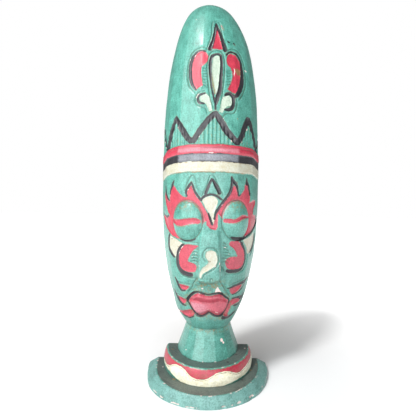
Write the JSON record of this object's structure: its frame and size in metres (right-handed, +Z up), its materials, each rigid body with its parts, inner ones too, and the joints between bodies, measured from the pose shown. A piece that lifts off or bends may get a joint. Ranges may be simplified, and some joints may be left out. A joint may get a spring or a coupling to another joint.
{
  "type": "standing folk art mask",
  "caption": "Tall carved and painted folk art mask with a pointed headdress and closed eyes, half-round with a flat back, standing on a flared neck and stepped half-round base.",
  "frame": {"origin": "on the table, at the middle of the lower step's footprint in width and depth", "axes": "+Z up along the mask's height, -Y the way the face looks, +Y out of the flat back, +X to the right for someone who faces the mask"},
  "size_m": [0.17, 0.095, 0.505],
  "materials": {
    "painted_wood": "satin hand-brushed paint, worn at the edges",
    "dowel_wood": "bare beech",
    "screw_steel": "zinc plated"
  },
  "bodies": {
    "root": {"mask_head": "painted_wood", "neck_pillar": "painted_wood", "upper_step": "painted_wood", "lower_step": "painted_wood", "head_dowel_left": "dowel_wood", "head_dowel_right": "dowel_wood", "neck_screw_left": "screw_steel", "neck_screw_right": "screw_steel", "step_screw_left": "screw_steel", "step_screw_right": "screw_steel", "step_screw_front": "screw_steel"}
  },
  "joints": []
}
